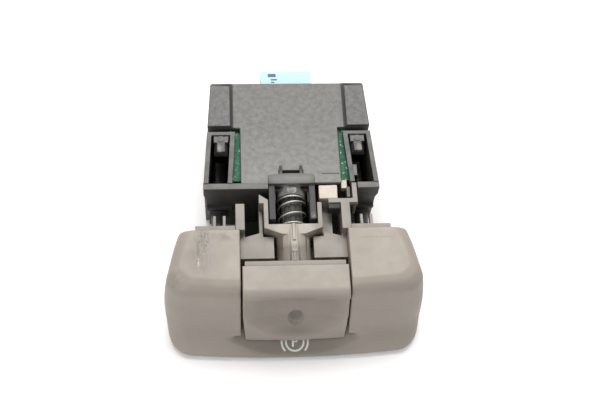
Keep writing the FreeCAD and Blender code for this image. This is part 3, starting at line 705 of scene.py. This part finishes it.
innerParts = {
    "rearCase": {
        "node": "rear_case", "width": 0.00035, "segments": 3,
        "material": casePlastic, "slot": "black_plastic", "body": "housing",
    },
    "frontCarrier": {
        "node": "front_carrier", "width": 0.00016, "segments": 2,
        "material": carrierPlastic, "slot": "black_plastic", "body": "housing",
    },
    "springGuide": {
        "node": "spring_guide", "width": 0.00014, "segments": 2, "ownNormals": True,
        "material": guidePlastic, "slot": "black_plastic", "body": "housing",
    },
    "guidePost": {
        "node": "guide_post", "width": 0.00008, "segments": 2, "ownNormals": True,
        "material": postPlastic, "slot": "black_plastic", "body": "housing",
    },
    "handleChassis": {
        "node": "handle_chassis", "width": 0.00020, "segments": 2,
        "material": rawTaupe, "slot": "taupe_plastic", "body": "handle",
    },
    "buttonSlider": {
        "node": "button_slider", "width": 0.00020, "segments": 2,
        "material": rawTaupe, "slot": "taupe_plastic", "body": "button",
    },
    "plungerRod": {
        "node": "plunger_rod", "width": 0.00008, "segments": 2,
        "material": rawTaupe, "slot": "taupe_plastic", "body": "button",
    },
    "circuitBoard": {
        "node": "circuit_board", "width": 0.00008, "segments": 2,
        "material": boardLacquer, "slot": "green_board", "body": "housing",
    },
    "pinHeader": {
        "node": "pin_header", "width": 0.00008, "segments": 2,
        "material": sensorPlastic, "slot": "black_plastic", "body": "housing",
    },
    "connectorPins": {
        "node": "connector_pins", "width": 0.00006, "segments": 2,
        "material": tinned, "slot": "tinned_contacts", "body": "housing",
    },
    "rearLabel": {
        "node": "rear_label", "width": 0.00003, "segments": 2,
        "material": labelPaper, "slot": "label_paper", "body": "housing",
    },
    "pullSensor": {
        "node": "pull_sensor", "width": 0.00012, "segments": 2,
        "material": sensorPlastic, "slot": "sensor_plastic", "body": "housing",
    },
    "pressSensor": {
        "node": "press_sensor", "width": 0.00012, "segments": 2,
        "material": sensorPlastic, "slot": "sensor_plastic", "body": "housing",
    },
    "statusLamp": {
        "node": "status_led", "width": 0.00015, "segments": 2,
        "material": creamPlastic, "slot": "lamp_plastic", "body": "housing",
    },
    "controlChip": {
        "node": "control_chip", "width": 0.00008, "segments": 2,
        "material": sensorPlastic, "slot": "sensor_plastic", "body": "housing",
    },
    "armBuffer": {
        "node": "arm_buffer", "width": 0.00045, "segments": 3,
        "material": rubber, "slot": "black_rubber", "body": "handle",
    },
    "lightGuide": {
        "node": "light_guide", "width": 0.00025, "segments": 3,
        "material": creamPlastic, "slot": "clear_cream_plastic", "body": "handle",
    },
}
for side in ("right", "left"):
    innerParts["guidePin" + side.capitalize()] = {
        "node": "guide_pin_" + side, "width": 0.00006, "segments": 2,
        "material": steel, "slot": "steel", "body": "handle",
    }
    innerParts["pinClip" + side.capitalize()] = {
        "node": "pin_clip_" + side, "width": 0.00005, "segments": 2,
        "material": springSteel, "slot": "spring_steel", "body": "handle",
    }
for name, part in innerParts.items():
    edgeBroken(name, part)
print("inner parts made")


# Springs

turnSteps = 20
buttonCoil = {
    "node": "button_spring",
    "material": springSteel,
    "slot": "spring_steel",
    "body": "button",
    "joint": "button_press",
    "radius": 0.00525,
    "wire": 0.0007,
    "start": -0.01455,
    "end": -0.00175,
    "turns": 2.3,  # open turns, between the closed turn at each end
    "topAt": 0.85,  # turn at which the wire crosses the top
    "x": 0.0,
    "z": 0.0225,
    "carried": "start",  # the end that its body carries
    "travel": 0.0015,
}
returnCoil = {
    "material": springSteel,
    "slot": "spring_steel",
    "body": "handle",
    "joint": "handle_pull",
    "radius": 0.00185,
    "wire": 0.0005,
    "start": 0.00275,
    "end": 0.01715,
    "turns": 5,
    "topAt": 0.0,
    "z": 0.0103,
    "carried": "end",
    "travel": 0.0070,
}


def coilPoint(size, turn):
    wire = size["wire"]
    rise = size["end"] - size["start"] - 3 * wire  # two closed turns and the wire's own thickness
    y = size["start"] + wire / 2 + wire * min(turn, 1.0)
    y += rise * min(max(turn - 1.0, 0.0), size["turns"]) / size["turns"]
    y += wire * max(turn - 1.0 - size["turns"], 0.0)
    angle = 2 * math.pi * (turn - size["topAt"])
    x = size["x"] + size["radius"] * math.sin(angle)
    z = size["z"] + size["radius"] * math.cos(angle)
    return place(x, y, z)


def wireCoil(name, size):
    # A round wire wound as a compression spring with one closed turn at each end.
    curve = bpy.data.curves.new(name, "CURVE")
    curve.dimensions = "3D"
    curve.bevel_depth = size["wire"] / 2
    curve.bevel_resolution = 3
    curve.use_fill_caps = True
    count = int(turnSteps * (size["turns"] + 2)) + 1
    line = curve.splines.new("NURBS")
    line.points.add(count - 1)
    for index in range(count):
        line.points[index].co = (*coilPoint(size, index / turnSteps), 1.0)
    line.order_u = 3
    line.use_endpoint_u = True
    form = formOfCurve(name, curve)
    smoothShaded(form)
    piece = inPlaceOfNode(name + "Wire", form, size)
    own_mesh(piece)


wireCoil("buttonCoil", buttonCoil)
for side, x in (("right", 0.028), ("left", -0.028)):
    wireCoil("returnCoil" + side.capitalize(), {**returnCoil, "node": "return_spring_" + side, "x": x})
print("springs made")


# Parking brake sign in the finger hollow

signSize = {
    "along": 0.0067,
    "ring": 0.0033,
    "ringSteps": 64,
    "stroke": 0.00070,
    "arc": 0.0049,
    "arcSpread": 42.0,
    "arcSteps": 24,
    "letter": 0.0052,
    "letterWeight": 0.00012,
    "thickness": 0.00004,
    "lift": 0.00003,
    "mergeGap": 0.000005,
}
scoopSize = {"reach": 0.058, "lip": 0.0019, "radius": 0.090, "slope": math.radians(12.0)}


def strokeBand(form, radius, start, angle, steps):
    # A flat band that follows an arc, laid out on the plane of the sign.
    turned = Matrix.Rotation(start, 3, "Z")
    reaches = (radius - signSize["stroke"] / 2, radius + signSize["stroke"] / 2)
    ends = [form.verts.new(turned @ Vector((reach, 0.0, 0.0))) for reach in reaches]
    bmesh.ops.spin(
        form,
        geom=[*ends, form.edges.new(ends)],
        cent=(0.0, 0.0, 0.0),
        axis=(0.0, 0.0, 1.0),
        angle=angle,
        steps=steps,
        use_merge=angle == 2 * math.pi,
    )


def letterForm():
    text = bpy.data.curves.new("letter", "FONT")
    text.body = "P"
    text.size = signSize["letter"]
    text.align_x = "CENTER"
    text.align_y = "CENTER"
    text.offset = signSize["letterWeight"]
    return formOfCurve("letter", text)


def laidInScoop(form):
    axis = Vector((0.0, math.cos(scoopSize["slope"]), math.sin(scoopSize["slope"])))
    up = Vector((0.0, -math.sin(scoopSize["slope"]), math.cos(scoopSize["slope"])))
    tip = place(0.0, -scoopSize["reach"], scoopSize["lip"])
    for vertex in form.verts:
        x, along, height = vertex.co
        sag = scoopSize["radius"] - math.sqrt(scoopSize["radius"] ** 2 - x * x)
        vertex.co = tip + Vector((x, 0.0, 0.0)) + axis * (along + signSize["along"]) + up * (sag + height)


def makeSign():
    form = letterForm()
    spread = math.radians(signSize["arcSpread"])
    strokeBand(form, signSize["ring"], 0.0, 2 * math.pi, signSize["ringSteps"])
    strokeBand(form, signSize["arc"], -spread, 2 * spread, signSize["arcSteps"])
    strokeBand(form, signSize["arc"], math.pi - spread, 2 * spread, signSize["arcSteps"])
    bmesh.ops.remove_doubles(form, verts=form.verts, dist=signSize["mergeGap"])
    bmesh.ops.subdivide_edges(form, edges=form.edges, cuts=1)
    thick = bmesh.ops.extrude_face_region(form, geom=form.faces[:])
    for element in thick["geom"]:
        if isinstance(element, bmesh.types.BMVert):
            element.co.z += signSize["thickness"]
    for vertex in form.verts:
        vertex.co.z += signSize["lift"]
    laidInScoop(form)
    bmesh.ops.recalc_face_normals(form, faces=form.faces)
    finished("brakeSign", form, signInk, "handle")


makeSign()
print("sign made")

# Plain printed blocks on the rear label

labelPrint = {"top": 0.02423, "thickness": 0.00004}
labelBlocks = [
    {"centre": (-0.0056, 0.0560), "size": (0.0032, 0.0016)},
    {"centre": (-0.0048, 0.0539), "size": (0.0026, 0.0007)},
    {"centre": (-0.0053, 0.0526), "size": (0.0014, 0.0006)},
    {"centre": (-0.0061, 0.0513), "size": (0.0012, 0.0010)},
]
form = bmesh.new()
for block in labelBlocks:
    made = bmesh.ops.create_cube(form, size=1.0)
    bmesh.ops.scale(form, vec=(*block["size"], labelPrint["thickness"]), verts=made["verts"])
    bmesh.ops.translate(form, vec=place(*block["centre"], labelPrint["top"]), verts=made["verts"])
finished("labelBlocks", form, labelInk, "housing")
print("label blocks made")


# Stage, light and camera

floorLook = {
    "half": 3.0,
    "drop": 0.0001,
    "cloudScale": 6.0,
    "dark": (0.93, 0.93, 0.93),
    "light": (0.95, 0.95, 0.95),
    "roughness": 0.9,
    "fade": (0.25, 0.7),  # distances between which it turns white for the camera
}
worldLook = {
    "light": (0.62, 0.62, 0.6262),
    "background": (1.0, 1.0, 1.0),  # what the camera sees
}
lampSizes = {
    "backBox": {
        "location": (0.02, 0.36, 0.58),
        "target": (0.0, 0.0, 0.02),
        "size": (0.62, 0.36),
        "power": 5.8,
        "colour": (1.0, 0.985, 0.955),
    },
    "frontFill": {
        "location": (-0.35, -0.75, 0.45),
        "target": (0.0, -0.02, 0.02),
        "size": (0.6, 0.5),
        "power": 2.2,
        "colour": (1.0, 0.985, 0.96),
    },
}
cameraSize = {
    "location": (-0.0229, -0.1835, 0.3483),
    "yaw": math.radians(8.20),
    "pitch": math.radians(60.55),
    "roll": math.radians(6.26),
    "lens": 58.8,
    "sensor": 36.0,
    "near": 0.01,
    "far": 20.0,
}


def floorMaterial():
    # Plain and pale, with the object's shadow, and white for the camera further out.
    material, tree, shader = blankMaterial("paleFloor")
    points = objectPoints(tree)
    cloud = remapped(tree, noiseOf(tree, points, floorLook["cloudScale"]), *noiseSpan)
    tree.links.new(blended(tree, cloud, floorLook["dark"], floorLook["light"]), shader.inputs["Base Color"])
    shader.inputs["Roughness"].default_value = floorLook["roughness"]
    shader.inputs["Specular IOR Level"].default_value = 0.0
    length = tree.nodes.new("ShaderNodeVectorMath")
    length.operation = "LENGTH"
    tree.links.new(points, length.inputs[0])
    path = tree.nodes.new("ShaderNodeLightPath")
    far = remapped(tree, length.outputs["Value"], *floorLook["fade"])
    seen = combined(tree, "MULTIPLY", far, path.outputs["Is Camera Ray"])
    glow = tree.nodes.new("ShaderNodeEmission")
    mix = tree.nodes.new("ShaderNodeMixShader")
    tree.links.new(seen, mix.inputs["Fac"])
    tree.links.new(shader.outputs["BSDF"], mix.inputs[1])
    tree.links.new(glow.outputs["Emission"], mix.inputs[2])
    tree.links.new(mix.outputs["Shader"], tree.nodes["Material Output"].inputs["Surface"])
    return material


def makeFloor():
    mesh = bpy.data.meshes.new("floor")
    form = bmesh.new()
    bmesh.ops.create_grid(form, x_segments=1, y_segments=1, size=floorLook["half"])
    form.to_mesh(mesh)
    form.free()
    floor = bpy.data.objects.new("floor", mesh)
    floor.location.z = -floorLook["drop"]
    bpy.context.scene.collection.objects.link(floor)
    mesh.materials.append(floorMaterial())


def makeWorld():
    world = bpy.data.worlds.new("studio")
    bpy.context.scene.world = world
    world.use_nodes = True
    tree = world.node_tree
    background = tree.nodes["Background"]
    path = tree.nodes.new("ShaderNodeLightPath")
    seen = combined(tree, "MAXIMUM", path.outputs["Is Camera Ray"], path.outputs["Is Transmission Ray"])
    colour = blended(tree, seen, worldLook["light"], worldLook["background"])
    tree.links.new(colour, background.inputs["Color"])
    background.inputs["Strength"].default_value = 1.0


def areaLight(name, size):
    lamp = bpy.data.lights.new(name, "AREA")
    lamp.shape = "RECTANGLE"
    lamp.size, lamp.size_y = size["size"]
    lamp.energy = size["power"]
    lamp.color = size["colour"]
    holder = bpy.data.objects.new(name, lamp)
    holder.location = size["location"]
    facing = Vector(size["target"]) - Vector(size["location"])
    holder.rotation_euler = facing.to_track_quat("-Z", "Y").to_euler()
    bpy.context.scene.collection.objects.link(holder)


def makeCamera():
    data = bpy.data.cameras.new("camera")
    data.lens = cameraSize["lens"]
    data.sensor_width = cameraSize["sensor"]
    data.clip_start = cameraSize["near"]
    data.clip_end = cameraSize["far"]
    camera = bpy.data.objects.new("camera", data)
    turn = Matrix.Rotation(-cameraSize["yaw"], 3, "Z")
    turn = turn @ Matrix.Rotation(math.pi / 2 - cameraSize["pitch"], 3, "X")
    turn = turn @ Matrix.Rotation(cameraSize["roll"], 3, "Z")
    camera.rotation_euler = turn.to_euler()
    camera.location = place(*cameraSize["location"])
    bpy.context.scene.collection.objects.link(camera)
    bpy.context.scene.camera = camera


makeFloor()
makeWorld()
for name, size in lampSizes.items():
    areaLight(name, size)
makeCamera()
bpy.context.scene.view_settings.view_transform = "Standard"
print("stage, light and camera made")
